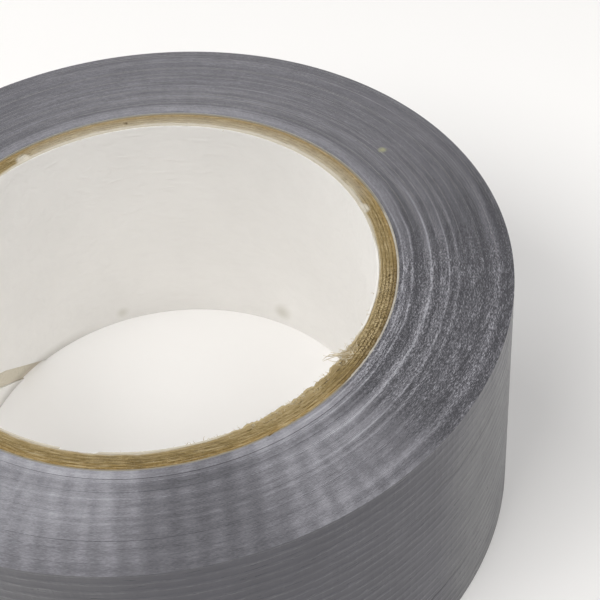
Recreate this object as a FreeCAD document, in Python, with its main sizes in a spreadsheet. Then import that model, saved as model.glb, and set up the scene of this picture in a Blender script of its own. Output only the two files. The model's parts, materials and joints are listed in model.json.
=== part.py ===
import FreeCAD, Part
import Sketcher
import math
import os
from FreeCAD import Placement, Rotation, Vector

# A roll of duct tape lying on one side, in millimetres. +Z is the roll's axis. The origin is
# where that axis meets the surface that the roll lies on.

driving = {
    # Core: a spiral-wound paper tube of glued plies
    "bore_radius": 38.1,  # three inch core
    "liner_thickness": 0.36,  # white paper lining the bore
    "kraft_thickness": 0.59,  # one brown ply
    "kraft_plies": 5,
    "cover_thickness": 0.36,  # cream paper that the tape is wound on
    "seam_lead": 148.0,  # rise of a ply's seam in one turn round the tube
    "liner_seam": 3.8,  # open seam of the liner, along the axis
    "ply_seam": 0.6,  # butt seam of each other ply, along the axis
    "seam_angle": 138.5,  # where the liner's seam meets the lower end
    "seam_stagger": 67.0,  # turn from one ply's seam to the next
    # Tape: one strip of adhesive, cloth and film, wound film outwards
    "tape_width": 48.0,  # the core is cut to the same width
    "adhesive_thickness": 0.08,
    "scrim_thickness": 0.09,
    "film_thickness": 0.07,
    "turns_below": 76,  # turns under the start of the last one
    # The first turns slipped along the core and stand proud of the upper side
    "slip": 0.12,
    "slipped_turns": 6,
    # Free end, which lifts off the roll
    "end_angle": 172.0,  # direction of the free end, from +X
    "end_length": 20.0,  # lifting stretch, along the strip
    "end_gap": 0.05,  # between the lifting stretch and the turn it leaves
    "peel_gap": 0.05,  # between the lifting stretch and the turn under it
    # Room past both ends of a ply for the seam cut to start and stop in
    "seam_overrun": 10.0,
    "seam_clearance": 0.3,
}

doc = FreeCAD.newDocument("DuctTapeRoll")
sizes = doc.addObject("Spreadsheet::Sheet", "Sizes")
for row, (alias, value) in enumerate(driving.items(), start=1):
    sizes.set(f"A{row}", alias)
    sizes.set(f"B{row}", str(value))
    sizes.setAlias(f"B{row}", alias)
doc.recompute()

# Lengths worked out from the sheet, as expressions
kraftStart = "(Sizes.bore_radius + Sizes.liner_thickness)"
kraftEnd = f"({kraftStart} + Sizes.kraft_plies * Sizes.kraft_thickness)"
coreRadius = f"({kraftEnd} + Sizes.cover_thickness)"
scrimStart = "Sizes.adhesive_thickness"
filmStart = f"({scrimStart} + Sizes.scrim_thickness)"
pitch = f"({filmStart} + Sizes.film_thickness)"
packRadius = f"({coreRadius} + Sizes.turns_below * {pitch})"
endTurn = f"(Sizes.end_length / ({packRadius} + {pitch}) * 180 / pi)"
gapTurn = f"(Sizes.end_gap / ({packRadius} + {pitch}) * 180 / pi)"
seamRunIn = "(360 * Sizes.seam_overrun / Sizes.seam_lead)"

# The strip's spiral is four arcs a turn. Their centres stand on a square whose side is a quarter
# of the strip's thickness, so each arc runs on smoothly from the last and one turn gains exactly
# one thickness. The spiral starts at the local +X axis.
centreSigns = [(-1, 1), (-1, -1), (1, -1), (1, 1)]
quarterTurn = math.pi / 2

# Places of a sketch: its origin, and the points of an edge
originPoint = (-1, 1)
startPoint, endPoint, centrePoint = range(1, 4)


def number(sketch, expression):
    # Value of an expression over the sheet
    return float(sketch.evalExpression(expression))


def makeBody(name, turned):
    # Body of its own for one piece, turned about the roll's axis by an angle in degrees
    body = doc.addObject("PartDesign::Body", name)
    body.Label = name
    body.Placement = Placement(Vector(0, 0, 0), Rotation(Vector(0, 0, 1), 0))
    body.setExpression("Placement.Rotation.Angle", f"({turned}) * 1 deg")
    return body


def makeSketch(body, name, plane):
    # Sketch on one of the body's own origin planes
    sketch = body.newObject("Sketcher::SketchObject", name)
    planes = [feature for feature in body.Origin.OriginFeatures if feature.Role == plane]
    sketch.AttachmentSupport = (planes[0], [""])
    sketch.MapMode = "FlatFace"
    return sketch


def bind(sketch, name, kind, places, expression):
    # Named dimension of a sketch, driven by an expression
    index = sketch.addConstraint(Sketcher.Constraint(kind, *places, number(sketch, expression)))
    sketch.renameConstraint(index, name)
    sketch.setExpression(f"Constraints.{name}", expression)


def addCircle(sketch, name, radius):
    # Circle about the roll's axis
    outline = Part.Circle(Vector(0, 0, 0), Vector(0, 0, 1), number(sketch, radius))
    circle = sketch.addGeometry(outline)
    sketch.addConstraint(Sketcher.Constraint("Coincident", circle, centrePoint, *originPoint))
    bind(sketch, name, "Radius", (circle,), radius)


def addRectangle(sketch, name, left, right, low, high):
    # Upright rectangle in a plane through the axis, sized from the axis and the base plane
    sidePlaces = [number(sketch, side) for side in (left, right, low, high)]
    xLeft, xRight, yLow, yHigh = sidePlaces
    corners = [(xLeft, yLow), (xRight, yLow), (xRight, yHigh), (xLeft, yHigh)]
    sides = []
    for begin, end in zip(corners, corners[1:] + corners[:1]):
        sides.append(sketch.addGeometry(Part.LineSegment(Vector(*begin, 0), Vector(*end, 0))))
    for side, following in zip(sides, sides[1:] + sides[:1]):
        sketch.addConstraint(
            Sketcher.Constraint("Coincident", side, endPoint, following, startPoint)
        )
    for side, direction in zip(sides, ("Horizontal", "Vertical", "Horizontal", "Vertical")):
        sketch.addConstraint(Sketcher.Constraint(direction, side))
    bind(sketch, f"{name}Left", "DistanceX", (*originPoint, sides[0], startPoint), left)
    bind(sketch, f"{name}Right", "DistanceX", (*originPoint, sides[0], endPoint), right)
    bind(sketch, f"{name}Low", "DistanceY", (*originPoint, sides[0], startPoint), low)
    bind(sketch, f"{name}High", "DistanceY", (*originPoint, sides[2], startPoint), high)


def alignWithCentre(sketch, arc, point, quarter):
    # An arc's end at a whole number of quarter turns lies level with or straight over its centre
    direction = "Horizontal" if quarter % 2 == 0 else "Vertical"
    sketch.addConstraint(Sketcher.Constraint(direction, arc, centrePoint, arc, point))


def addSpiral(sketch, name, radius, quarters, angles):
    # Arcs of one edge of the strip from the first quarter to the last. The angles are where it
    # starts and ends, as expressions in degrees, or None at a whole quarter.
    arcs = []
    for quarter in quarters:
        step = number(sketch, pitch)
        centre = [sign * step / 8 for sign in centreSigns[quarter]]
        arcRadius = number(sketch, radius) + quarter * step / 4
        begin = quarter * quarterTurn
        end = begin + quarterTurn
        if quarter == quarters[0] and angles[0]:
            begin = math.radians(number(sketch, angles[0]))
        if quarter == quarters[-1] and angles[1]:
            end = math.radians(number(sketch, angles[1]))
        circle = Part.Circle(Vector(*centre, 0), Vector(0, 0, 1), arcRadius)
        arc = sketch.addGeometry(Part.ArcOfCircle(circle, begin, end))
        for kind, sign in zip(("DistanceX", "DistanceY"), centreSigns[quarter]):
            bind(
                sketch,
                f"{name}{kind}{quarter}",
                kind,
                (*originPoint, arc, centrePoint),
                f"{sign} * {pitch} / 8",
            )
        if arcs:
            sketch.addConstraint(
                Sketcher.Constraint("Coincident", arcs[-1], endPoint, arc, startPoint)
            )
        else:
            bind(
                sketch,
                f"{name}Radius",
                "Radius",
                (arc,),
                f"{radius} + {quarter} * {pitch} / 4",
            )
        if quarter == quarters[0] and not angles[0]:
            alignWithCentre(sketch, arc, startPoint, quarter)
        if quarter != quarters[-1] or not angles[1]:
            alignWithCentre(sketch, arc, endPoint, quarter + 1)
        arcs.append(arc)
    return arcs


def addEdgeLine(sketch, begin, end):
    # Straight end of the strip, between the ends of two arcs
    places = [sketch.getPoint(*begin), sketch.getPoint(*end)]
    line = sketch.addGeometry(Part.LineSegment(*places))
    sketch.addConstraint(Sketcher.Constraint("Coincident", line, startPoint, *begin))
    sketch.addConstraint(Sketcher.Constraint("Coincident", line, endPoint, *end))


def addRay(sketch, name, outer, inner, point, angle):
    # Construction line from the arcs' centre that holds both ends of a radial cut at one angle
    places = [sketch.getPoint(outer, centrePoint), sketch.getPoint(outer, point)]
    ray = sketch.addGeometry(Part.LineSegment(*places), True)
    sketch.addConstraint(
        Sketcher.Constraint("Coincident", ray, startPoint, outer, centrePoint)
    )
    sketch.addConstraint(Sketcher.Constraint("Coincident", ray, endPoint, outer, point))
    sketch.addConstraint(Sketcher.Constraint("PointOnObject", inner, point, ray))
    index = sketch.addConstraint(
        Sketcher.Constraint("Angle", ray, math.radians(number(sketch, angle) - 360))
    )
    sketch.renameConstraint(index, name)
    sketch.setExpression(f"Constraints.{name}", f"({angle} - 360) * 1 deg")


def padToWidth(body, sketch):
    # Every piece starts as an outline raised to the width of the tape
    feature = body.newObject("PartDesign::Pad", f"{body.Name}Pad")
    feature.Profile = sketch
    feature.setExpression("Length", "Sizes.tape_width")
    return feature


def makePly(name, inner, thickness, seam, turned):
    # One ply of the core: a tube cut right through by its helical seam
    body = makeBody(name, f"{turned} - {seamRunIn}")
    outline = makeSketch(body, f"{name}Outline", "XY_Plane")
    addCircle(outline, "inner", inner)
    addCircle(outline, "outer", f"{inner} + {thickness}")
    tube = padToWidth(body, outline)
    cutter = makeSketch(body, f"{name}Seam", "XZ_Plane")
    addRectangle(
        cutter,
        "seam",
        f"{inner} - Sizes.seam_clearance",
        f"{inner} + {thickness} + Sizes.seam_clearance",
        f"-Sizes.seam_overrun - {seam} / 2",
        f"-Sizes.seam_overrun + {seam} / 2",
    )
    doc.recompute()
    helix = body.newObject("PartDesign::SubtractiveHelix", f"{name}SeamCut")
    helix.Profile = cutter
    helix.ReferenceAxis = (cutter, ["V_Axis"])
    helix.Mode = "pitch-height-angle"
    helix.setExpression("Pitch", "Sizes.seam_lead")
    helix.setExpression("Height", "Sizes.tape_width + 2 * Sizes.seam_overrun")
    doc.recompute()
    if helix.Shape.Volume >= tube.Shape.Volume:
        raise RuntimeError(f"the seam misses {name}")
    return body


def addSlippedTurns(body, name, edge, kind):
    # Section of the slipped turns across one side of the roll, taken round the axis: added to
    # the upper side, cut out of the lower one
    sketch = makeSketch(body, f"{name}Profile", "XZ_Plane")
    last = f"{coreRadius} + Sizes.slipped_turns * {pitch}"
    addRectangle(sketch, "slip", coreRadius, last, f"{edge} - Sizes.slip", f"{edge} + Sizes.slip")
    doc.recompute()
    before = body.Shape.Volume
    feature = body.newObject(kind, name)
    feature.Profile = sketch
    feature.ReferenceAxis = (sketch, ["V_Axis"])
    feature.Angle = 360
    doc.recompute()
    if math.isclose(feature.Shape.Volume, before):
        raise RuntimeError(f"{name} changes nothing")


def makeWoundTape(name):
    # All turns under the last, bonded into one pack whose outside is the strip's own spiral
    body = makeBody(name, "Sizes.end_angle")
    outline = makeSketch(body, f"{name}Outline", "XY_Plane")
    addCircle(outline, "core", coreRadius)
    arcs = addSpiral(outline, "spiral", packRadius, range(4), (None, None))
    addEdgeLine(outline, (arcs[0], startPoint), (arcs[-1], endPoint))
    padToWidth(body, outline)
    addSlippedTurns(body, "proudTurns", "Sizes.tape_width", "PartDesign::Revolution")
    addSlippedTurns(body, "sunkTurns", "0", "PartDesign::Groove")
    return body


def makeOuterTurnLayer(name, low, high):
    # One layer of the last turn, from the start of the spiral to the root of the free end
    body = makeBody(name, "Sizes.end_angle")
    outline = makeSketch(body, f"{name}Outline", "XY_Plane")
    root = f"(360 - {endTurn} - {gapTurn})"
    inner = addSpiral(outline, "inner", f"({packRadius} + {low})", range(4), (None, root))
    outer = addSpiral(outline, "outer", f"({packRadius} + {high})", range(4), (None, root))
    addRay(outline, "root", outer[-1], inner[-1], endPoint, root)
    addEdgeLine(outline, (inner[0], startPoint), (outer[0], startPoint))
    addEdgeLine(outline, (inner[-1], endPoint), (outer[-1], endPoint))
    padToWidth(body, outline)
    return body


def makeTapeEndLayer(name, low, high):
    # One layer of the free end, lying just clear of the turn under it
    body = makeBody(name, "Sizes.end_angle")
    outline = makeSketch(body, f"{name}Outline", "XY_Plane")
    root = f"(360 - {endTurn})"
    under = f"({packRadius} + Sizes.peel_gap)"
    inner = addSpiral(outline, "inner", f"({under} + {low})", [3], (root, None))
    outer = addSpiral(outline, "outer", f"({under} + {high})", [3], (root, None))
    addRay(outline, "root", outer[0], inner[0], startPoint, root)
    addEdgeLine(outline, (inner[0], startPoint), (outer[0], startPoint))
    addEdgeLine(outline, (inner[0], endPoint), (outer[0], endPoint))
    padToWidth(body, outline)
    return body


# Core
pieces = [
    makePly(
        "core_inner_liner",
        "Sizes.bore_radius",
        "Sizes.liner_thickness",
        "Sizes.liner_seam",
        "Sizes.seam_angle",
    )
]
for ply in range(round(sizes.kraft_plies)):
    pieces.append(
        makePly(
            f"core_kraft_ply_{ply + 1}",
            f"({kraftStart} + {ply} * Sizes.kraft_thickness)",
            "Sizes.kraft_thickness",
            "Sizes.ply_seam",
            f"Sizes.seam_angle + {ply + 1} * Sizes.seam_stagger",
        )
    )
pieces.append(
    makePly(
        "core_outer_cover",
        kraftEnd,
        "Sizes.cover_thickness",
        "Sizes.ply_seam",
        "Sizes.seam_angle + (Sizes.kraft_plies + 1) * Sizes.seam_stagger",
    )
)

# Tape
layers = [
    ("adhesive", "0", scrimStart),
    ("scrim", scrimStart, filmStart),
    ("film", filmStart, pitch),
]
pieces.append(makeWoundTape("wound_tape"))
for layer, low, high in layers:
    pieces.append(makeOuterTurnLayer(f"outer_turn_{layer}", low, high))
for layer, low, high in layers:
    pieces.append(makeTapeEndLayer(f"tape_end_{layer}", low, high))

doc.recompute()
for item in doc.Objects:
    if {"Invalid", "Error"} & set(item.State):
        raise RuntimeError(f"{item.Name} failed: {item.State}")
for piece in pieces:
    if piece.Shape.isNull() or not piece.Shape.isValid() or len(piece.Shape.Solids) != 1:
        raise RuntimeError(f"{piece.Label} is not one sound solid")

os.makedirs("parts", exist_ok=True)
for piece in pieces:
    piece.Shape.exportStep(f"parts/{piece.Label}.step")
    box = piece.Shape.BoundBox
    print(f"{piece.Label}: {piece.Shape.Volume:.1f} mm3, z {box.ZMin:.2f} to {box.ZMax:.2f}")
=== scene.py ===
# Duct tape roll: one strip of cloth tape wound on a plied paper core, with its free end laid down.
# Lengths are metres and angles degrees; seen from above, the strip runs outwards anticlockwise.
import json
import math

import bpy
import numpy as np
from mathutils import Matrix, Vector


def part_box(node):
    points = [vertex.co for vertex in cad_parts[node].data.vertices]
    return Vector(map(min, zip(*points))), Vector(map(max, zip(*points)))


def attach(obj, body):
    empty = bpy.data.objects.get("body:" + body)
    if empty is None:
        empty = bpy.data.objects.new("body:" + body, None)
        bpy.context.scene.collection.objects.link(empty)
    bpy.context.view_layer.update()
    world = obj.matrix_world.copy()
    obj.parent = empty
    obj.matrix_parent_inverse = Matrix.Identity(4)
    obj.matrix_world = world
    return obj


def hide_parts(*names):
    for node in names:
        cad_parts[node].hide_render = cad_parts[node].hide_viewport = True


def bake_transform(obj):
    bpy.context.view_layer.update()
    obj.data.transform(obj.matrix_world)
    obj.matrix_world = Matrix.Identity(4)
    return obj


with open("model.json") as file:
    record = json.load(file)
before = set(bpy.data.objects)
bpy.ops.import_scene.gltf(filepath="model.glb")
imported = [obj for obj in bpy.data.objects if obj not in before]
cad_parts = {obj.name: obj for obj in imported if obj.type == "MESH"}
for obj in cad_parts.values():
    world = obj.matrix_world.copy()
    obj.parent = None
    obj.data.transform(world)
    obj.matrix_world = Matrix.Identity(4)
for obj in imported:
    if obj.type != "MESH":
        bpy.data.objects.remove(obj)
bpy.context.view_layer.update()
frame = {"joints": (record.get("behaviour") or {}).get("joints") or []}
millimetre = 0.001
perMetre = 1000.0
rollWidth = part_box("core_inner_liner")[1].z
topLevel = rollWidth * perMetre

# the gauze in the tape: lengthwise threads across its width, and cross threads along it
threadPitch = {"warp": 1.92 * millimetre, "weft": 1.5 * millimetre}


def outerRadius(node):
    # half the width of the node's box
    low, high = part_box(node)
    return (high.x - low.x) / 2


def smoothStep(value, start, end):
    # t * t * (3 - 2 t), with t = (value - start) / (end - start) held between 0 and 1
    t = np.clip((value - start) / (end - start), 0, 1)
    return t * t * (3 - 2 * t)


def wander(turns, seed, perTurn, amount):
    # sum of sines of random phase, each a little faster than the last, so it never repeats
    rng = np.random.default_rng(seed)
    rates = perTurn * rng.uniform(0.35, 1.0, 9)
    phases = rng.uniform(0, 2 * math.pi, 9)
    waves = np.sin(np.multiply.outer(turns, rates * 2 * math.pi) + phases)
    return amount * waves.sum(-1) / 3


def ringNoise(angle, seed, slowest, fastest, amount):
    # sum of whole-numbered harmonics of the angle, so it closes on itself after a turn
    rng = np.random.default_rng(seed)
    harmonics = rng.choice(np.arange(slowest, fastest), min(40, fastest - slowest), replace=False)
    phases = rng.uniform(0, 2 * math.pi, len(harmonics))
    weights = (slowest / harmonics) ** 0.4
    waves = weights * np.sin(np.multiply.outer(angle, harmonics) + phases)
    return amount * waves.sum(-1) / math.sqrt((weights**2).sum() / 2)


def addObject(name, data):
    # puts a mesh, lamp or camera into the scene
    piece = bpy.data.objects.new(name, data)
    bpy.context.scene.collection.objects.link(piece)
    return piece


def buildMesh(name, vertices, faceSets, uv, finishes, faceFinish=None, creaseAngle=35):
    # faceSets are arrays of faces with as many corners each; uv is one pair for each vertex
    corners = np.concatenate([faces.ravel() for faces in faceSets])
    sizes = np.concatenate([np.full(len(faces), faces.shape[1]) for faces in faceSets])
    mesh = bpy.data.meshes.new(name)
    mesh.vertices.add(len(vertices))
    mesh.vertices.foreach_set("co", np.ascontiguousarray(vertices, np.float32).ravel())
    mesh.loops.add(len(corners))
    mesh.loops.foreach_set("vertex_index", corners.astype(np.int32))
    mesh.polygons.add(len(sizes))
    mesh.polygons.foreach_set("loop_start", (np.cumsum(sizes) - sizes).astype(np.int32))
    mesh.polygons.foreach_set("use_smooth", np.ones(len(sizes), bool))
    for finish in finishes:
        mesh.materials.append(finish)
    if faceFinish is not None:
        mesh.polygons.foreach_set("material_index", faceFinish.astype(np.int32))
    layer = mesh.uv_layers.new(name="strip")
    layer.data.foreach_set("uv", np.ascontiguousarray(uv[corners], np.float32).ravel())
    mesh.update(calc_edges=True)
    mesh.validate()
    mesh.set_sharp_from_angle(angle=math.radians(creaseAngle))
    return addObject(name, mesh)


def roundPlace(radius, angle, height):
    # x = r cos a, y = r sin a, z = h
    return np.stack([radius * np.cos(angle), radius * np.sin(angle), height], -1)


def buildBand(name, radius, angle, height, arc, finishes, columnFinish=None, creaseAngle=35):
    # a closed profile carried along an arc, on a grid of stations by profile points; the profile
    # goes up outside and comes down inside
    stations, around = radius.shape
    index = np.arange(stations * around).reshape(stations, around)
    beside = np.roll(index, -1, axis=1)
    quads = np.stack([index[:-1], index[1:], beside[1:], beside[:-1]], -1).reshape(-1, 4)
    caps = np.stack([index[0], index[-1][::-1]])
    uv = np.stack([arc, height], -1).reshape(-1, 2)
    faceFinish = None
    if columnFinish is not None:
        walls = np.tile(np.asarray(columnFinish), stations - 1)
        faceFinish = np.concatenate([walls, np.zeros(2, int)])
    points = roundPlace(radius, angle, height).reshape(-1, 3)
    return buildMesh(name, points, [quads, caps], uv, finishes, faceFinish, creaseAngle)


# node groups and materials


def makeGroup(name, inputs, build):
    # build works on the group's tree and input sockets, and gives its outputs by name
    group = bpy.data.node_groups.new(name, "ShaderNodeTree")
    for label, value in inputs.items():
        socket = group.interface.new_socket(name=label, in_out="INPUT", socket_type="NodeSocketFloat")
        socket.default_value = value
    results = build(group, group.nodes.new("NodeGroupInput").outputs)
    out = group.nodes.new("NodeGroupOutput")
    for label, value in results.items():
        group.interface.new_socket(name=label, in_out="OUTPUT", socket_type="NodeSocketFloat")
        group.links.new(value, out.inputs[label])
    return group


def put(tree, kind, links=None, **settings):
    # a node with its settings; links maps an input's name or number to a value or a socket
    node = tree.nodes.new(kind)
    for label, value in settings.items():
        setattr(node, label, value)
    for label, value in (links or {}).items():
        if isinstance(value, bpy.types.NodeSocket):
            tree.links.new(value, node.inputs[label])
        else:
            node.inputs[label].default_value = value
    return node


def work(tree, operation, *values):
    # one Math node
    return put(tree, "ShaderNodeMath", dict(enumerate(values)), operation=operation).outputs[0]


def times(tree, product, *factors):
    # all of them multiplied, in turn
    for factor in factors:
        product = work(tree, "MULTIPLY", product, factor)
    return product


def addPart(tree, tone, value, weight):
    # tone + value * weight
    return work(tree, "MULTIPLY_ADD", value, weight, tone)


def addTone(tree, tone, value, weight, middle=0.5):
    # tone + (value - middle) * weight
    return addPart(tree, tone, work(tree, "SUBTRACT", value, middle), weight)


def sumUp(tree, total, *parts):
    # all of them added, in turn
    for part in parts:
        total = work(tree, "ADD", total, part)
    return total


def apart(tree, value, middle):
    # |value - middle|
    return work(tree, "ABSOLUTE", work(tree, "SUBTRACT", value, middle))


def vectorWork(tree, operation, *values):
    # one Vector Math node
    node = put(tree, "ShaderNodeVectorMath", dict(enumerate(values)), operation=operation)
    return node.outputs["Vector" if operation in ("ADD", "NORMALIZE") else "Value"]


def fit(tree, value, fromLow, fromHigh, toLow=0.0, toHigh=1.0, kind="LINEAR"):
    # Map Range, held between its ends
    links = {"Value": value, "From Min": fromLow, "From Max": fromHigh}
    links.update({"To Min": toLow, "To Max": toHigh})
    return put(tree, "ShaderNodeMapRange", links, interpolation_type=kind).outputs["Result"]


def ease(tree, value, fromLow, fromHigh, toLow=0.0, toHigh=1.0):
    # the same with a smooth start and end: t * t * (3 - 2 t)
    return fit(tree, value, fromLow, fromHigh, toLow, toHigh, "SMOOTHSTEP")


def span(tree, share, low, high):
    # low where the share is 0, and high where it is 1
    return fit(tree, share, 0.0, 1.0, low, high)


def blendColour(tree, factor, first, second):
    # the first tone where the factor is 0, and the second where it is 1
    tones = [(*tone, 1.0) if isinstance(tone, tuple) else tone for tone in (first, second)]
    links = {0: factor, 6: tones[0], 7: tones[1]}
    return put(tree, "ShaderNodeMix", links, data_type="RGBA").outputs[2]


def layUp(tree, colour, *layers):
    # each layer is a mask and the tone that it lays over the colour
    for mask, tone in layers:
        colour = blendColour(tree, mask, colour, tone)
    return colour


def objectPlace(tree):
    # the piece's own coordinates in metres
    return put(tree, "ShaderNodeTexCoord").outputs["Object"]


def stripPlace(tree):
    # the strip's own map, and its arc length and height in metres
    uv = put(tree, "ShaderNodeTexCoord").outputs["UV"]
    return uv, put(tree, "ShaderNodeSeparateXYZ", {0: uv}).outputs


def polarPlace(tree):
    # radius in millimetres, unit vector round the roll, and height in millimetres
    split = put(tree, "ShaderNodeSeparateXYZ", {0: objectPlace(tree)}).outputs
    flat = put(tree, "ShaderNodeCombineXYZ", {0: split[0], 1: split[1]}).outputs[0]
    radius = times(tree, vectorWork(tree, "LENGTH", flat), perMetre)
    return radius, vectorWork(tree, "NORMALIZE", flat), times(tree, split[2], perMetre)


def windingStreaks(tree, given):
    # noise drawn out round the roll: place = (unit vector * along, radius * across + height * rise)
    radius, unit, height = polarPlace(tree)
    links = {0: unit, "Scale": given["along"]}
    spread = put(tree, "ShaderNodeVectorMath", links, operation="SCALE").outputs[0]
    across = addPart(tree, given["seed"], radius, given["across"])
    lift = put(tree, "ShaderNodeCombineXYZ", {2: addPart(tree, across, height, given["rise"])}).outputs[0]
    links = {"Vector": vectorWork(tree, "ADD", spread, lift), "Detail": given["detail"]}
    noise = put(tree, "ShaderNodeTexNoise", {**links, "Scale": 1.0, "Roughness": 0.6}).outputs[0]
    return {"value": fit(tree, noise, given["low"], given["high"])}


def turnTones(tree, given):
    # one tone for each turn, changing slowly along the strip: noise of arc length / run
    links = {"W": work(tree, "DIVIDE", stripPlace(tree)[1][0], given["run"]), "Scale": 1.0, "Detail": 1.0}
    return {"value": put(tree, "ShaderNodeTexNoise", links, noise_dimensions="1D").outputs[0]}


def endsOfThreads(tree, given):
    # pale dots where cross threads reach the edge: a pulse of arc length / pitch, each of its own tone
    count = work(tree, "DIVIDE", stripPlace(tree)[1][0], given["pitch"])
    gap = work(tree, "DIVIDE", apart(tree, work(tree, "FRACT", count), 0.5), given["width"])
    pulse = ease(tree, gap, 0.3, 1.0, 1.0, 0.0)
    links = {"W": work(tree, "FLOOR", count)}
    chance = put(tree, "ShaderNodeTexWhiteNoise", links, noise_dimensions="1D").outputs["Value"]
    return {"value": times(tree, pulse, work(tree, "SUBTRACT", 1.0, times(tree, chance, given["uneven"])))}


def scatteredSpecks(tree, given):
    # small spots: distance to the nearest random point, below a threshold
    links = {"Vector": objectPlace(tree), "Scale": work(tree, "DIVIDE", 1.0, given["size"])}
    cells = put(tree, "ShaderNodeTexVoronoi", links, feature="F1").outputs
    chance = put(tree, "ShaderNodeSeparateColor", {0: cells["Color"]}).outputs[0]
    chosen = work(tree, "LESS_THAN", chance, given["share"])
    return {"value": times(tree, ease(tree, cells["Distance"], 0.2, 0.45, 1.0, 0.0), chosen)}


def fibresOfPaper(tree, given):
    # short fibres: noise stretched in three directions, the highest of them; and a slow cloud
    coords = objectPlace(tree)
    stretch = put(tree, "ShaderNodeCombineXYZ", {0: given["stretch"], 1: 1.0, 2: 1.0}).outputs[0]
    layers = []
    for turn in (0.5, 1.7, 2.6):
        links = {"Vector": coords, "Rotation": (turn, turn * 0.7, turn), "Scale": stretch}
        links = {"Vector": put(tree, "ShaderNodeMapping", links).outputs[0], "Scale": given["scale"]}
        links.update({"Detail": 1.0, "Distortion": 0.6})
        layers.append(put(tree, "ShaderNodeTexNoise", links).outputs[0])
    most = work(tree, "MAXIMUM", work(tree, "MAXIMUM", layers[0], layers[1]), layers[2])
    links = {"Vector": coords, "Scale": times(tree, given["scale"], 0.12), "Detail": 3.0}
    cloud = put(tree, "ShaderNodeTexNoise", links).outputs[0]
    return {"value": fit(tree, most, 0.5, 0.75), "cloud": cloud}


def threadsBothWays(tree, given):
    # a rounded wave of height / warp pitch, and one of arc length / weft pitch
    uv, split = stripPlace(tree)
    bend = put(tree, "ShaderNodeTexNoise", {"Vector": uv, "Scale": 260.0, "Detail": 1.0}).outputs[0]
    shift = times(tree, work(tree, "SUBTRACT", bend, 0.5), given["uneven"])
    waves = {}
    for label, axis in (("warp", 1), ("weft", 0)):
        count = sumUp(tree, work(tree, "DIVIDE", split[axis], threadPitch[label]), shift)
        wave = work(tree, "COSINE", times(tree, count, 2 * math.pi))
        waves[label] = ease(tree, wave, 0.0, 1.0)
    return waves


streakInputs = {"along": 9.0, "across": 2.0, "rise": 0.0, "detail": 2.0, "seed": 0.0, "low": 0.3, "high": 0.7}
streaks = makeGroup("windingStreaks", streakInputs, windingStreaks)
turnTone = makeGroup("turnTone", {"run": 0.04}, turnTones)
threadEnds = makeGroup("threadEnds", {"pitch": 0.0015, "width": 0.35, "uneven": 0.6}, endsOfThreads)
specks = makeGroup("specks", {"size": 0.0003, "share": 0.3}, scatteredSpecks)
paperFibres = makeGroup("paperFibres", {"scale": 900.0, "stretch": 0.25}, fibresOfPaper)
gauze = makeGroup("gauze", {"uneven": 0.25}, threadsBothWays)


def useGroup(tree, group, **values):
    # a group's node, whose outputs are picked by name
    return put(tree, "ShaderNodeGroup", values, node_tree=group).outputs


def toneOf(tree, group, **values):
    # the group's main output
    return useGroup(tree, group, **values)["value"]


def streakTones(tree, look, *labels):
    # one for each label, whose values are in the order of the group's inputs; those left out keep
    # its own
    return [toneOf(tree, streaks, **dict(zip(streakInputs, look[label]))) for label in labels]


def newFinish(name, roughness, specular):
    # a material whose one Principled shader is still to be coloured
    material = bpy.data.materials.new(name)
    material.use_nodes = True
    tree = material.node_tree
    tree.nodes.clear()
    shader = put(tree, "ShaderNodeBsdfPrincipled", {"Roughness": roughness})
    shader.inputs["Specular IOR Level"].default_value = specular
    out = put(tree, "ShaderNodeOutputMaterial")
    tree.links.new(shader.outputs[0], out.inputs["Surface"])
    return material, tree, shader


def makeFinish(name, look, build):
    # build works on the material's tree, and gives by name what drives the shader's inputs, and
    # the rise of a relief as deep as the look says
    material, tree, shader = newFinish(name, look["roughness"], look["specular"])
    driven = build(tree, look)
    if "rise" in driven:
        links = {"Height": driven.pop("rise"), "Distance": look["relief"], "Strength": 1.0}
        driven["Normal"] = put(tree, "ShaderNodeBump", links).outputs[0]
    for label, value in driven.items():
        tree.links.new(value, shader.inputs[label])
    return material


def towards(tree, unit, bearing):
    # cosine of the angle between the place's own bearing and the one given
    radians = math.radians(bearing)
    return vectorWork(tree, "DOT_PRODUCT", unit, (math.cos(radians), math.sin(radians), 0.0))


def sideMask(tree, unit, side):
    # 1 towards the side's bearing and 0 away from it, by the cosine between them
    bearing, start, whole = side
    return ease(tree, towards(tree, unit, bearing), start, whole)


def spotGap(tree, bearing, radius, height):
    # distance in millimetres from a spot at a bearing, radius and height
    radians = math.radians(bearing)
    spot = Vector((radius * math.cos(radians), radius * math.sin(radians), height)) * millimetre
    return times(tree, vectorWork(tree, "DISTANCE", objectPlace(tree), spot), perMetre)


def addSpots(tree, colour, uneven, spots):
    # lays their tone over each spot: its strength falls to 0 with the distance from its place,
    # from a share of its size to the size; an uneven tone makes it ragged
    for bearing, radius, height, size in spots["places"]:
        gap = addTone(tree, spotGap(tree, bearing, radius, height), uneven, spots["ragged"])
        mask = ease(tree, gap, spots["whole"] * size, size, spots["strength"], 0.0)
        colour = blendColour(tree, mask, colour, spots["tone"])
    return colour


# a side is a bearing, with the cosines from it at which the side starts and is whole; places of
# spots are bearing, radius, height and size, in degrees and millimetres

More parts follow.
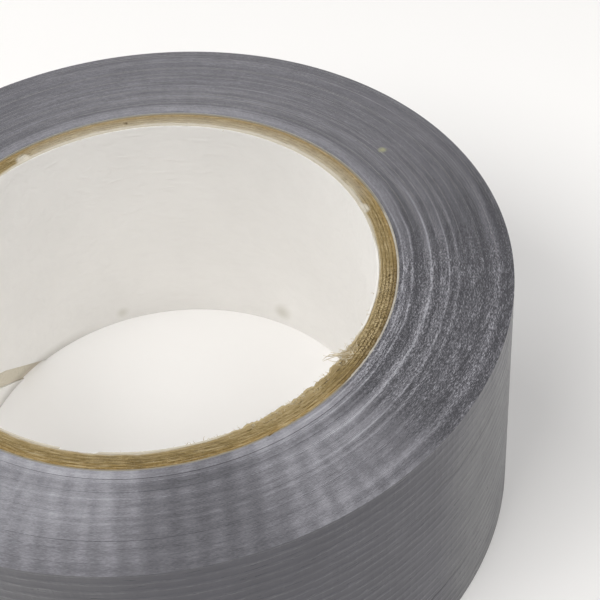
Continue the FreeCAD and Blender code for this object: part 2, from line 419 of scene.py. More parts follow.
edgeLook = {
    "roughness": 0.6,
    "specular": 0.35,
    "darkTone": (0.060, 0.060, 0.068),
    "tone": (0.160, 0.158, 0.176),
    "paleTone": (0.46, 0.46, 0.50),
    "baseTone": 0.13,
    # streaks round the roll: along, across, rise, detail and seed
    "wobble": (3.0, 0.25, 0.0, 2.0, 3.0),
    "broad": (7.0, 0.9, 0.0, 1.0, 21.0),
    "fine": (104.0, 11.5, 0.0, 1.0, 58.0),
    "column": (36.0, 0.10, 0.0, 1.0, 91.0),
    # pale and dark rings, in millimetres: radius, half width, and how much paler or darker
    "rings": [
        (42.0, 0.35, 0.13), (42.5, 0.3, 0.36), (43.1, 1.1, 0.27), (44.0, 0.3, 0.44), (44.7, 0.4, -0.12),
        (46.7, 1.3, 0.28), (47.0, 0.35, 0.42), (48.6, 0.2, 0.16), (49.3, 1.2, 0.18), (50.0, 0.3, 0.34),
        (51.4, 0.4, 0.26), (53.9, 0.8, 0.08), (55.9, 0.6, -0.08), (57.5, 1.3, 0.15), (57.9, 0.3, 0.12),
        (59.1, 0.9, -0.10),
    ],
    # painted sheen over the rings, the lamps' highlights laid into the colour; a strength below 0
    # darkens instead: side, and strength at the inner turns and at the last one, and
    # the radii between which it changes
    "paintedSheens": [
        (-107.0, 0.93, 1.0, 0.32, 0.15), (-57.0, 0.955, 1.0, 0.24, 0.24), (72.0, 0.3, 0.95, 0.11, 0.11),
        (36.0, 0.85, 0.98, -0.06, -0.06), (-2.0, 0.945, 0.995, -0.04, -0.04),
    ],
    "paintedSheenFade": (51.0, 60.0),
    # the first turns stand proud and catch the light, painted as a highlight away from the rough
    # side: radii between which this ends, and how much
    "proud": (43.4, 44.2, 0.12, 0.0),
    # where the edges are rough, and where their grain is plainest
    "roughSide": (-20.0, 0.7, 0.97),
    "grainSide": (-20.0, 0.88, 0.985),
    "relief": 0.06 * millimetre,
    # cross threads of neighbouring turns line up in a fan, shown only where the lamps' sheen falls,
    # so partly painted sheen: its middle, spacing, strength, and cosine at its side and where it is whole
    "fan": {"bearing": -87.0, "pitch": 3.95, "strength": 0.11, "reach": (0.72, 0.9)},
    # a crumb of yellow paper
    "crumb": {
        "places": [(32.0, 49.2, topLevel, 0.9)], "ragged": 0.5, "whole": 0.35, "strength": 0.7,
        "tone": (0.36, 0.36, 0.20),
    },
}


def addRings(tree, radius, rings):
    # sum of strength * smooth fall from 1 to 0 as |radius - middle| goes from 0 to the half width
    bands = []
    for middle, halfWidth, strength in rings:
        bands.append(ease(tree, apart(tree, radius, middle), 0.0, halfWidth, strength, 0.0))
    return sumUp(tree, *bands)


def addFan(tree, radius, unit, fan):
    # rounded wave of the distance round the ring from the fan's middle: radius * angle / pitch
    ahead, aside = (towards(tree, unit, fan["bearing"] + turn) for turn in (0, 90))
    angle = work(tree, "ARCTAN2", aside, ahead)
    wave = work(tree, "COSINE", times(tree, angle, radius, 1 / fan["pitch"], 2 * math.pi))
    return times(tree, wave, fit(tree, ahead, *fan["reach"], 0.0, 0.5 * fan["strength"]))


def edgesOfTurns(tree, look):
    # the wound strip's edges: rings, one tone a turn, short grains, thread ends, specks and painted sheen
    radius, unit = polarPlace(tree)[:2]
    wobble, broad, fine, column = streakTones(tree, look, "wobble", "broad", "fine", "column")
    rings = addRings(tree, addTone(tree, radius, wobble, 0.3), look["rings"])
    rough = sideMask(tree, unit, look["roughSide"])
    contrast = span(tree, rough, 0.22, 1.0)
    grain = span(tree, sideMask(tree, unit, look["grainSide"]), 0.2, 1.0)
    turn = toneOf(tree, turnTone, run=0.004)
    ends = toneOf(tree, threadEnds, pitch=0.001512, width=0.36, uneven=0.7)
    fleck = toneOf(tree, specks, size=0.00026, share=0.2)
    tone = addPart(tree, look["baseTone"], rings, contrast)
    tone = addTone(tree, tone, contrast, -0.12, 1.0)
    # painted highlight on the proud first turns
    tone = addPart(tree, tone, fit(tree, radius, *look["proud"]), span(tree, rough, 1.0, 0.0))
    tone = addTone(tree, tone, broad, 0.08)
    mixed = addTone(tree, addTone(tree, 0.0, fine, 1.0), turn, 0.7)
    mixed = addTone(tree, mixed, fleck, 0.15, 0.1)
    mixed = addTone(tree, mixed, ends, 0.15, 0.25)
    tone = addPart(tree, tone, times(tree, mixed, grain), 1.0)
    # painted sheen: the lamps' highlights, broken into soft columns, added to the edges' tone
    uneven = addPart(tree, 0.82, column, 0.35)
    for *side, strength, lastStrength in look["paintedSheens"]:
        paintedSheen = times(tree, sideMask(tree, unit, side), uneven)
        reach = fit(tree, radius, *look["paintedSheenFade"], strength, lastStrength)
        tone = addPart(tree, tone, paintedSheen, reach)
    patchy = fit(tree, broad, 0.2, 0.8, 0.3, 1.4)
    # the fan's columns: thread pattern and painted sheen together
    fan = times(tree, addFan(tree, radius, unit, look["fan"]), patchy)
    tone = sumUp(tree, tone, fan)
    dark = fit(tree, tone, 0.0, 0.35)
    pale = fit(tree, tone, 0.35, 1.0)
    colour = blendColour(tree, dark, look["darkTone"], look["tone"])
    colour = blendColour(tree, pale, colour, look["paleTone"])
    rise = addPart(tree, times(tree, fleck, 0.5), fine, 0.6)
    return {"Base Color": addSpots(tree, colour, fine, look["crumb"]), "rise": times(tree, rise, grain)}


edgeFinish = makeFinish("tapeEdge", edgeLook, edgesOfTurns)

filmLook = {
    "tone": (0.053, 0.0525, 0.0645),
    "paleTone": (0.0805, 0.080, 0.096),
    "roughness": 0.36,
    "specular": 0.5,
    # painted sheen down the wall, the lamps' highlights laid into the colour: side and strength
    "paintedSheens": [(-112.0, 0.9, 1.0, 0.35), (-24.0, 0.93, 1.0, 0.6)],
    # colour of the painted highlight
    "paintedSheenTone": (0.15, 0.15, 0.152),
    # height in millimetres above which the painted sheen fades, and its share at the top
    "paintedSheenTop": (36.0, 0.55),
    # streaks round the wall: along, across, rise, detail and seed
    "cloud": (9.0, 0.0, 0.12, 2.0, 5.0),
    "lines": (12.0, 0.0, 2.2, 2.0, 2.0),
    "patch": (20.0, 0.0, 0.9, 1.0, 15.0),
    "broken": (70.0, 0.0, 0.8, 0.0, 27.0),
    "pleat": (4.0, 0.0, 0.9, 2.0, 44.0, 0.6, 0.75),
    "relief": 0.03 * millimetre,
    # creases pressed in when it was wound, sunk in the relief and darkened in colour, a painted
    # shade in the groove: height in millimetres, bearing, and cosine at the ends
    "creases": [(37.6, -34.0, 0.975), (10.6, -43.0, 0.985)],
}


def addCreases(tree, unit, height, creases):
    # sum of falls from 1 to 0 with the distance from each crease's height, each on its own side
    lines = []
    for level, bearing, end in creases:
        line = ease(tree, apart(tree, height, level), 0.1, 0.4, 1.0, 0.0)
        lines.append(times(tree, line, sideMask(tree, unit, (bearing, end, 1.0))))
    return sumUp(tree, *lines)


def faceOfFilm(tree, look):
    # silver-grey plastic face over gauze: soft gloss, with the threads showing as faint ribs
    unit, height = polarPlace(tree)[1:]
    threads = useGroup(tree, gauze, uneven=0.35)
    cloud, lines, patch = streakTones(tree, look, "cloud", "lines", "patch")
    broken, pleat = streakTones(tree, look, "broken", "pleat")
    fleck = toneOf(tree, specks, size=0.0005, share=0.12)
    pressed = fit(tree, patch, 0.2, 0.8, 0.35, 1.0)
    pressed = times(tree, pressed, span(tree, broken, 0.6, 1.4))
    ribs = times(tree, threads["warp"], pressed)
    rungs = times(tree, threads["weft"], pressed)
    creaseWithShade = addCreases(tree, unit, addTone(tree, height, cloud, 0.8), look["creases"])
    tone = times(tree, lines, 0.35)
    # the creases darken the tone: painted shade in their grooves
    for part, weight in ((cloud, 0.5), (ribs, 0.32), (rungs, 0.1), (pleat, 0.15), (creaseWithShade, -0.9)):
        tone = addPart(tree, tone, part, weight)
    colour = blendColour(tree, fit(tree, tone, 0.0, 1.1), look["tone"], look["paleTone"])
    fadeFrom, topShare = look["paintedSheenTop"]
    fade = fit(tree, height, fadeFrom, topLevel, 1.0, topShare)
    # painted sheen: the wall's highlights laid over its colour, fading near the top
    for *side, strength in look["paintedSheens"]:
        mask = times(tree, sideMask(tree, unit, side), strength, span(tree, cloud, 0.7, 1.2), fade)
        colour = blendColour(tree, mask, colour, look["paintedSheenTone"])
    rise = times(tree, ribs, 1.6)
    for part, weight in ((rungs, 0.55), (lines, 0.22), (pleat, 0.3), (fleck, 0.1), (creaseWithShade, -4.0)):
        rise = addPart(tree, rise, part, weight)
    dull = addTone(tree, look["roughness"], lines, 0.2)
    return {"Base Color": colour, "Roughness": dull, "rise": rise}


filmFinish = makeFinish("tapeFilm", filmLook, faceOfFilm)

adhesiveLook = {
    "tone": (0.42, 0.42, 0.40),
    "threadTone": (0.66, 0.65, 0.6),
    "roughness": 0.5,
    "specular": 0.5,
    "relief": 0.05 * millimetre,
}


def stickyCoat(tree, look):
    # pale, with the gauze sunk in it
    threads = useGroup(tree, gauze, uneven=0.5)
    cloud = useGroup(tree, paperFibres, scale=700.0, stretch=0.6)["cloud"]
    mesh = work(tree, "MAXIMUM", threads["warp"], threads["weft"])
    faded = times(tree, mesh, fit(tree, cloud, 0.3, 0.7, 0.35, 1.0))
    colour = blendColour(tree, faded, look["tone"], look["threadTone"])
    return {"Base Color": colour, "rise": sumUp(tree, mesh, cloud)}


adhesiveFinish = makeFinish("tapeAdhesive", adhesiveLook, stickyCoat)


def paintedFootShade(tree, unit, level, look):
    # falls smoothly from its strength at the table to 0 at its height, on one side: painted shade
    # where the bore wall meets the table
    foot = ease(tree, level, 0.0, look["footHeight"], look["footStrength"], 0.0)
    return times(tree, foot, sideMask(tree, unit, look["footShadeSide"]))


kraftLook = {
    "roughness": 0.85,
    "specular": 0.25,
    "darkTone": (0.080, 0.052, 0.018),
    "tone": (0.225, 0.159, 0.060),
    "paleTone": (0.62, 0.51, 0.31),
    "goldTone": (0.27, 0.178, 0.058),
    "pulpTone": (0.41, 0.32, 0.168),
    "lipTone": (0.66, 0.62, 0.54),
    "wallTone": (0.68, 0.63, 0.52),
    # streaks round the ring: along, across, rise, detail and seed
    "layer": (40.0, 9.0, 0.5, 2.0, 11.0),
    "hair": (16.0, 11.0, 0.8, 1.0, 31.0, 0.5, 0.72),
    "salt": (150.0, 6.5, 2.0, 0.0, 64.0),
    "broken": (90.0, 2.4, 0.5, 1.0, 73.0),
    # paler and darker stretches: side and strength
    "stretches": [(-88.0, 0.94, 0.98, -0.14), (-53.0, 0.985, 0.998, 0.14), (-38.0, 0.985, 0.998, -0.14)],
    # where its grain is coarsest and the joints between its plies are open
    "grainSide": (-20.5, 0.955, 0.988),
    "plyStart": 38.46,
    "plyPitch": 0.59,
    # radii in millimetres between which the outer plies turn golden, and how much; and the same
    # for the shade on their darkest side
    "gold": (40.2, 41.1, 0.0, 0.75),
    "shade": (40.3, 41.1, 0.0, 0.52),
    "darkSide": (-22.0, 0.9, 0.97),
    # the same for the pale pulp inside, and for the lining's torn lip, which lies over the board,
    # farther out on one side, and is rubbed away on another
    "pulp": (38.6, 39.7, 0.5, 0.0),
    "torn": (38.45, 38.85, 0.7, 0.0),
    "lipSide": (72.0, 0.56, 0.60),
    "lipReach": 0.35,
    "rubbedSide": (-50.0, 0.8, 0.88),
    # the same for its dust, on the inner plies of the lip's side
    "dust": (39.3, 41.0, 0.36, 0.09),
    "dustSide": (72.0, 0.55, 0.70),
    # chips where the lining is pulled over the board
    "chips": {
        "places": [(16.8, 38.7, topLevel, 1.5), (125.0, 39.1, topLevel, 1.6)],
        "ragged": 1.2, "whole": 0.4, "strength": 0.8, "tone": (0.66, 0.62, 0.54),
    },
    # painted shade at the foot, where the board meets the table, on one side
    "footShadeTone": (0.36, 0.32, 0.255),
    "footHeight": 3.2,
    "footShadeSide": (155.0, 0.72, 0.95),
    "footStrength": 0.75,
    "relief": 0.07 * millimetre,
}


def brownBoard(tree, look):
    # pale and dark lines of pulp round the ring, fibres and a few dark grains;
    # the outer plies are more golden
    radius, unit, height = polarPlace(tree)
    fibre = useGroup(tree, paperFibres, scale=2200.0, stretch=0.3)
    layer, hair, salt, broken = streakTones(tree, look, "layer", "hair", "salt", "broken")
    coarse = sideMask(tree, unit, look["grainSide"])
    grain = span(tree, coarse, 0.65, 1.8)
    mixed = addTone(tree, addTone(tree, 0.0, layer, 0.5), fibre["cloud"], 0.5)
    mixed = addTone(tree, mixed, fibre["value"], 0.3, 0.3)
    tone = addPart(tree, 0.42, mixed, grain)
    # short dark and pale grains on the coarse side
    tone = addPart(tree, tone, times(tree, work(tree, "SUBTRACT", salt, 0.56), coarse), 1.3)
    for *side, strength in look["stretches"]:
        tone = addPart(tree, tone, sideMask(tree, unit, side), strength)
    # a ply's middle is pale and its joint with the next is dark, both broken up along the ring:
    # place in the ply = (radius - start) / pitch
    place = work(tree, "SUBTRACT", addTone(tree, radius, layer, 0.24), look["plyStart"])
    place = work(tree, "FRACT", work(tree, "DIVIDE", place, look["plyPitch"]))
    offMiddle = apart(tree, place, 0.5)
    ridge = times(tree, fit(tree, offMiddle, 0.05, 0.3, 1.0, 0.0), broken, span(tree, coarse, 0.1, 0.7))
    tone = sumUp(tree, tone, ridge)
    joint = times(tree, fit(tree, offMiddle, 0.3, 0.46), fit(tree, broken, 0.1, 0.7, 1.0, 0.1))
    joint = times(tree, joint, span(tree, coarse, 0.12, 0.45))
    pale = sumUp(tree, fit(tree, tone, 0.4, 1.0, 0.0, 0.45), times(tree, hair, 0.5))
    shade = ease(tree, addTone(tree, radius, layer, 0.3), *look["shade"])
    edge = addTone(tree, radius, fibre["cloud"], 0.8)
    reach = span(tree, sideMask(tree, unit, look["lipSide"]), 0.0, look["lipReach"])
    torn = fit(tree, work(tree, "SUBTRACT", edge, reach), *look["torn"])
    kept = work(tree, "SUBTRACT", 1.0, sideMask(tree, unit, look["rubbedSide"]))
    dust = times(tree, fit(tree, edge, *look["dust"]), sideMask(tree, unit, look["dustSide"]))
    gold = ease(tree, radius, *look["gold"])
    base = blendColour(tree, gold, look["tone"], look["goldTone"])
    colour = layUp(
        tree,
        blendColour(tree, fit(tree, tone, 0.0, 0.4), look["darkTone"], base),
        (pale, look["paleTone"]),
        (joint, look["darkTone"]),
        (times(tree, toneOf(tree, specks, size=0.0003, share=0.25), grain, 0.42), look["darkTone"]),
        (times(tree, toneOf(tree, specks, size=0.00019, share=0.3), grain, 0.38), look["paleTone"]),
        (times(tree, shade, sideMask(tree, unit, look["darkSide"])), look["darkTone"]),
        (fit(tree, edge, *look["pulp"]), look["pulpTone"]),
        (times(tree, torn, kept), look["lipTone"]),
        (dust, look["lipTone"]),
    )
    colour = addSpots(tree, colour, fibre["cloud"], look["chips"])
    # the flat of the board, seen down the lining's seam, is paler than its cut rims, and carries
    # painted shade at its foot
    fromRim = work(tree, "MINIMUM", height, work(tree, "SUBTRACT", topLevel, height))
    flat = blendColour(tree, paintedFootShade(tree, unit, height, look), look["wallTone"], look["footShadeTone"])
    colour = blendColour(tree, fit(tree, fromRim, 0.5, 1.1, 0.0, 0.85), colour, flat)
    return {"Base Color": colour, "rise": sumUp(tree, fibre["value"], times(tree, layer, 0.8))}


kraftFinish = makeFinish("kraftBoard", kraftLook, brownBoard)

linerLook = {
    "roughness": 0.8,
    "specular": 0.3,
    "boreSide": 38.1,
    "tone": (0.85, 0.835, 0.81),
    "greyTone": (0.76, 0.745, 0.72),
    # rubbed marks near the foot
    "smudges": {
        "places": [(56.0, 38.1, 3.7, 2.6), (107.0, 38.1, 2.7, 2.2)],
        "ragged": 3.0, "whole": 0.0, "strength": 0.45, "tone": (0.47, 0.45, 0.36),
    },
    # the cut rims are less white than the face but on one side
    "cutTone": (0.53, 0.485, 0.395),
    "cleanSide": (-12.0, 0.945, 0.985),
    # and another is rubbed to brown board, between these depths from the top in millimetres
    "rimTone": (0.42, 0.335, 0.19),
    "rimSide": (-50.0, 0.905, 0.95),
    "rubbed": (1.3, 0.9),
    # painted shade at its foot, where it meets the table, on the side away from the frayed one
    "footShadeTone": (0.44, 0.42, 0.38),
    "footHeight": 3.0,
    "footShadeSide": (155.0, 0.72, 0.95),
    "footStrength": 0.62,
    "relief": 0.04 * millimetre,
}


def whiteLining(tree, look):
    # uncoated paper, with faint mottling and two rubbed marks near its foot
    fibre = useGroup(tree, paperFibres, scale=600.0, stretch=0.35)
    worn = addPart(tree, fit(tree, fibre["cloud"], 0.35, 0.8, 0.0, 0.35), fibre["value"], 0.12)
    colour = blendColour(tree, worn, look["tone"], look["greyTone"])
    colour = addSpots(tree, colour, fibre["cloud"], look["smudges"])
    radius, unit, level = polarPlace(tree)
    cut = fit(tree, radius, look["boreSide"] + 0.02, look["boreSide"] + 0.08)
    soiled = span(tree, sideMask(tree, unit, look["cleanSide"]), 1.0, 0.2)
    start, end = (topLevel - depth for depth in look["rubbed"])
    rubbed = fit(tree, addTone(tree, level, fibre["cloud"], 1.6), start, end)
    colour = layUp(
        tree,
        colour,
        # painted shade at the foot
        (paintedFootShade(tree, unit, level, look), look["footShadeTone"]),
        (times(tree, cut, soiled), look["cutTone"]),
        (times(tree, rubbed, sideMask(tree, unit, look["rimSide"])), look["rimTone"]),
    )
    return {"Base Color": colour, "rise": sumUp(tree, fibre["value"], fibre["cloud"])}


linerFinish = makeFinish("linerPaper", linerLook, whiteLining)

coverLook = {
    "roughness": 0.8,
    "specular": 0.3,
    "tone": (0.35, 0.32, 0.27),
    "paleTone": (0.53, 0.50, 0.435),
    # its rim is clean on one side and soiled brown on the rest
    "cleanSide": (-14.0, 0.868, 0.902),
    "soiledTone": (0.225, 0.20, 0.15),
    "relief": 0.04 * millimetre,
}


def paleCover(tree, look):
    # the core's outer paper
    fibre = useGroup(tree, paperFibres, scale=1200.0, stretch=0.3)
    tone = addPart(tree, fit(tree, fibre["cloud"], 0.3, 0.7, 0.0, 0.5), fibre["value"], 0.5)
    colour = blendColour(tree, tone, look["tone"], look["paleTone"])
    side = sideMask(tree, polarPlace(tree)[1], look["cleanSide"])
    colour = blendColour(tree, span(tree, side, 0.15, 1.0), look["soiledTone"], colour)
    return {"Base Color": colour, "rise": fibre["value"]}


coverFinish = makeFinish("coverPaper", coverLook, paleCover)

fibreLook = {"tone": (0.42, 0.34, 0.21), "paleTone": (0.72, 0.65, 0.50), "roughness": 0.8, "specular": 0.3}


def tornFibre(tree, look):
    # loose fibres, paler than the board they come from
    fibre = toneOf(tree, paperFibres, scale=1500.0, stretch=0.3)
    return {"Base Color": blendColour(tree, fibre, look["tone"], look["paleTone"])}


fibreFinish = makeFinish("looseFibre", fibreLook, tornFibre)
print("materials made:", len(bpy.data.materials))

# the core: a white lining, five brown plies and a pale cover

core = {
    "linerThickness": 0.36 * millimetre,
    "seamLead": 148 * millimetre,
    "seamAngle": 138.5,
    "seamStagger": 67.0,
    "linerSeam": 3.8 * millimetre,
    "plySeam": 0.6 * millimetre,
    # stations round a ply and how ragged its rim is, for the lining and two plies, and the rest
    "innerMesh": (1080, 0.16 * millimetre),
    "outerMesh": (720, 0.06 * millimetre),
    # angles between which the fray starts and ends, and its share on the rest of the rim
    "frayedFrom": (-75.0, -61.0),
    "frayedTo": (-34.0, -22.0),
    "leastFray": 0.25,
    # how far the frayed lip bulges into the bore
    "lipBulge": 0.26 * millimetre,
    # the rounded rims: shares of the thickness, and the drop at each
    "rimAcross": (0.0, 0.05, 0.3, 0.5, 0.7, 0.95, 1.0),
    "rimDrop": (0.24, 0.07, 0.0, 0.02, 0.0, 0.07, 0.24),
    # noise round the plies: slowest and fastest harmonic, and amount
    "sinkNoise": (9, 420, 0.5),
    "leanNoise": (5, 380, 0.5),
    "dentNoise": (2, 14, 0.04 * millimetre),
    "swellNoise": (22, 150, 0.6),
    # notches in the upper rim: angle, half width and depth
    "notches": [(16.5, 1.3, 0.12 * millimetre), (125.0, 1.2, 0.15 * millimetre)],
}
boreRadius = outerRadius("core_inner_liner") - core["linerThickness"]


def frayed(angle):
    # 1 where the core's upper inner rim is worn, and the least fray elsewhere
    turned = (np.degrees(angle) + 180) % 360 - 180
    inside = smoothStep(turned, *core["frayedFrom"]) * (1 - smoothStep(turned, *core["frayedTo"]))
    return core["leastFray"] + (1 - core["leastFray"]) * inside


def makePly(name, node, number, inner, outer, seam, finish, stations, rough):
    # a tube slit along a helix: angle = seam angle + 360 * height / lead + share of the way round;
    # its rims are rounded and ragged by ring noise
    thickness = outer - inner
    rim, drop = (thickness * np.array(core[label]) for label in ("rimAcross", "rimDrop"))
    wall = np.linspace(0.04, 0.96, 11)[1:-1] * rollWidth
    wall = np.append(wall, rollWidth - np.array([1.2, 0.5]) * millimetre)
    count, bend = len(wall), len(rim)
    radii = np.concatenate([np.full(count, outer), outer - rim, np.full(count, inner), inner + rim])
    tops = np.concatenate([wall, rollWidth - drop, wall[::-1], drop])
    topEdge = np.concatenate([np.zeros(count), np.ones(bend), np.zeros(count + bend)])
    innerEdge = np.concatenate([np.zeros(count), rim / thickness, [0.45], np.zeros(count + bend - 1)])
    way = np.linspace(0, 1, stations)[:, None]
    halfSeam = math.pi * seam / core["seamLead"]
    start = math.radians(core["seamAngle"] + core["seamStagger"] * number)
    angle = start + 2 * math.pi * tops / core["seamLead"] + halfSeam + way * (2 * math.pi - 2 * halfSeam)
    worn = frayed(angle)
    sink = rough * worn * np.abs(ringNoise(angle, 40 + number, *core["sinkNoise"]))
    lean = rough * worn * ringNoise(angle, 60 + number, *core["leanNoise"])
    dent = ringNoise(angle, 80 + number, *core["dentNoise"]) * np.sin(math.pi * tops / rollWidth)
    bulge = np.zeros(angle.shape)
    if number < 2:
        # the lining and the first ply lean in together where they are frayed
        swell = np.clip(0.5 + ringNoise(angle, 55, *core["swellNoise"]), 0, 1.6)
        bulge = core["lipBulge"] * (worn - core["leastFray"]) / (1 - core["leastFray"]) * swell
    cut = np.zeros(angle.shape)
    for middle, halfWidth, depth in core["notches"]:
        gap = np.abs((np.degrees(angle) - middle + 180) % 360 - 180)
        cut = cut + depth * (1 - smoothStep(gap, 0.3 * halfWidth, halfWidth)) * (1 <= number <= 3)
    rise = tops - (sink + cut) * topEdge
    share = np.where(number == 0, np.maximum(innerEdge, topEdge), innerEdge)
    radius = radii + lean * innerEdge * topEdge - bulge * share - np.abs(dent) * 0.3 * (radii == outer)
    arc = angle * (inner + outer) / 2
    piece = buildBand(name, radius, angle, rise, arc, [finish], None, 50)
    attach(piece, "roll")
    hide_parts(node)


plies = [("coreLiner", "core_inner_liner", linerFinish, "liner_paper")]
plies += [(f"coreKraftPly{n}", f"core_kraft_ply_{n}", kraftFinish, "kraft_board") for n in range(1, 6)]
plies += [("coreCover", "core_outer_cover", coverFinish, "cover_paper")]
coreRadius = boreRadius
for number, (name, node, finish, slotName) in enumerate(plies):
    inner, coreRadius = coreRadius, outerRadius(node)
    seam = core["plySeam" if number else "linerSeam"]
    stations, rough = core["innerMesh" if number < 3 else "outerMesh"]
    makePly(name, node, number, inner, coreRadius, seam, finish, stations, rough)
print("core made: bore radius", round(boreRadius, 6), "core radius", round(coreRadius, 6))

# the tape: the wound strip, its outer turn, the bend and the free end

hinge = Vector(frame["joints"][0]["pos_m"])
tape = {
    "pitch": 0.24 * millimetre,
    # the first turns stand proud by the slip
    "slip": 0.12 * millimetre,
    "slippedTurns": 6.0,
    "slipEnd": 0.4,
    "shoulder": 0.05 * millimetre,
    "bendLength": 3.0 * millimetre,
    "endBearing": 172.0,
    "endGap": 0.05 * millimetre,
    # how far the cut end is torn, and over which angle
    "endRagged": 0.18 * millimetre,
    "endReach": 1.2,
    "ribHeight": 0.022 * millimetre,
    "rowsPerRib": 4,
    # seed, waves a turn and share
    "ribWaves": (5, 90.0, 0.3),
    # how the edges of turns with less slip wander: height, then seed, waves a turn and share
    "flushSlip": 0.1 * millimetre,
    "edgeWander": 0.03 * millimetre,
    "edgeWaves": [(7, 0.21, 1.0), (9, 1.4, 0.5), (12, 7.0, 0.35)],
    # stations a turn
    "woundSteps": 160,
    "outerSteps": 300,
    "bendSteps": 4000,
    "endSteps": 1200,
}
rootRadius = math.hypot(hinge.x, hinge.y)
rootAngle = math.atan2(hinge.y, hinge.x)
turnCount = (rootRadius - coreRadius) / tape["pitch"] - 1
endAngle = math.radians(tape["endBearing"])
bendAngle = rootAngle + tape["bendLength"] / rootRadius


def stripShape(angle, lift=0.0):
    # Archimedean spiral: outer radius = root radius + pitch * (angle - root angle) / a turn;
    # the edges rise and sink a little from turn to turn
    turns = (angle - rootAngle) / (2 * math.pi)
    outer = rootRadius + tape["pitch"] * turns + lift
    inner = outer - tape["pitch"]
    fromCore = turns + turnCount
    inner = np.where(fromCore < 1.0, np.minimum(inner, coreRadius + 0.01 * millimetre), inner)
    lastSlipped = tape["slippedTurns"]
    slip = tape["slip"] * (1 - smoothStep(fromCore, lastSlipped - tape["slipEnd"], lastSlipped))
    waves = sum(wander(turns, *wave) for wave in tape["edgeWaves"])
    slip = slip + tape["edgeWander"] * (1 + waves) * (slip < tape["flushSlip"])
    slip = np.clip(slip, 0, tape["slip"])
    # arc length of the spiral, from its root: r squared * pi / pitch
    arc = math.pi * (outer**2 - rootRadius**2) / tape["pitch"]
    return outer, inner, slip, arc


def makeStrip(name, angle, ribs, lift=0.0, torn=False):
    # the strip's profile carried along the spiral: two walls and two ridged edges; ribs raise the
    # outer wall over the lengthwise threads by a wave of height / pitch
    outer, inner, slip, arc = (column[:, None] for column in stripShape(angle, lift))
    shoulder = tape["shoulder"]
    rows = round(rollWidth / threadPitch["warp"]) * tape["rowsPerRib"] if ribs else 1
    climb = np.linspace(0, rollWidth, rows + 1)[1:-1]
    count = len(climb)
    across = np.concatenate([np.zeros(count + 2), [0.35, 1.0, 1.0, 0.35]])
    brow = rollWidth - shoulder
    height = np.concatenate([[shoulder], climb, [brow, rollWidth, brow, shoulder, 0.0]])
    finish = np.concatenate([np.zeros(count + 1), [1, 1, 2, 1, 1]]).astype(int)
    wave = np.zeros(len(height))
    wave[1:count + 1] = np.cos(2 * math.pi * climb / threadPitch["warp"])
    uneven = wander((angle[:, None] - rootAngle) / (2 * math.pi), *tape["ribWaves"])
    ribbed = tape["ribHeight"] * wave * (1 + uneven) if ribs else 0.0
    radius = outer + (inner - outer) * across + ribbed
    tops = slip + height + 0.0 * radius
    turning = angle[:, None] + 0.0 * radius
    if torn:
        edge = wander(height / rollWidth * 3, 21, 9.0, tape["endRagged"]) / rootRadius
        reach = math.radians(tape["endReach"])
        turning = turning + edge * smoothStep(angle[:, None], endAngle - reach, endAngle)
    place = arc + 0.0 * radius
    return buildBand(name, radius, turning, tops, place, [filmFinish, edgeFinish, adhesiveFinish], finish, 40)


def stationAngles(start, end, perTurn):
    # evenly spaced, with (end - start) / (2 pi) * stations a turn steps, and two at least
    steps = max(2, int(round((end - start) / (2 * math.pi) * perTurn)) + 1)
    return np.linspace(start, end, steps)


innerStart = rootAngle - 2 * math.pi * turnCount
outerStart = rootAngle - 2 * math.pi
woundStrip = makeStrip("woundStrip", stationAngles(innerStart, outerStart, tape["woundSteps"]), False)
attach(woundStrip, "roll")
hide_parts("wound_tape")

outerTurn = makeStrip("outerTurn", stationAngles(outerStart, rootAngle, tape["outerSteps"]), True)
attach(outerTurn, "roll")
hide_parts("outer_turn_adhesive", "outer_turn_scrim", "outer_turn_film")

bendAngles = stationAngles(rootAngle, bendAngle, tape["bendSteps"])
bendLift = tape["endGap"] * smoothStep(bendAngles, rootAngle, bendAngle)
stripBend = makeStrip("stripBend", bendAngles, True, bendLift)
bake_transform(stripBend)

endAngles = stationAngles(bendAngle, endAngle, tape["endSteps"])
tapeEnd = makeStrip("tapeEnd", endAngles, True, tape["endGap"], True)
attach(tapeEnd, "tape_end")
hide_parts("tape_end_adhesive", "tape_end_scrim", "tape_end_film")
print("tape made: turns", round(turnCount + 1, 2))

# loose fibres on the core's upper rim

fibres = {"points": 9, "sides": 4, "thickness": 0.035 * millimetre}


def makeFibres(name, roots, aims, lengths, curls, thickness, finish):
    # tapering tubes: root + aim * length * t + side * curl * sin(2.6 t) * length, four-sided
    count, points, sides = len(roots), fibres["points"], fibres["sides"]
    t = np.linspace(0, 1, points)[None, :, None]
    up = np.tile([0.0, 0.0, 1.0], (count, 1))
    side = np.cross(aims, up)
    side /= np.linalg.norm(side, axis=1)[:, None] + 1e-9
    bend = curls[:, None, :2]
    path = roots[:, None] + aims[:, None] * lengths[:, None, None] * t
    path = path + side[:, None] * bend[..., :1] * lengths[:, None, None] * np.sin(2.6 * t)
    path = path + up[:, None] * bend[..., 1:] * lengths[:, None, None] * np.sin(3.4 * t) * t
    tangent = np.gradient(path, axis=1)
    tangent /= np.linalg.norm(tangent, axis=2)[..., None] + 1e-12
    first = np.cross(tangent, side[:, None] + 0.3 * up[:, None])
    first /= np.linalg.norm(first, axis=2)[..., None] + 1e-12
    second = np.cross(tangent, first)
    turns = 2 * math.pi * np.arange(sides) / sides
    girth = thickness[:, None, None, None] * (1 - 0.7 * t[..., None])
    ring = first[:, :, None] * np.cos(turns)[None, None, :, None]
    ring = ring + second[:, :, None] * np.sin(turns)[None, None, :, None]
    vertices = (path[:, :, None] + girth * ring).reshape(-1, 3)
    index = np.arange(count * points * sides).reshape(count, points, sides)
    beside = np.roll(index, -1, axis=2)
    quads = np.stack([index[:, :-1], beside[:, :-1], beside[:, 1:], index[:, 1:]], -1).reshape(-1, 4)
    caps = np.concatenate([index[:, 0, ::-1], index[:, -1]])
    uv = np.zeros((len(vertices), 2))
    return buildMesh(name, vertices, [quads, caps], uv, [finish])


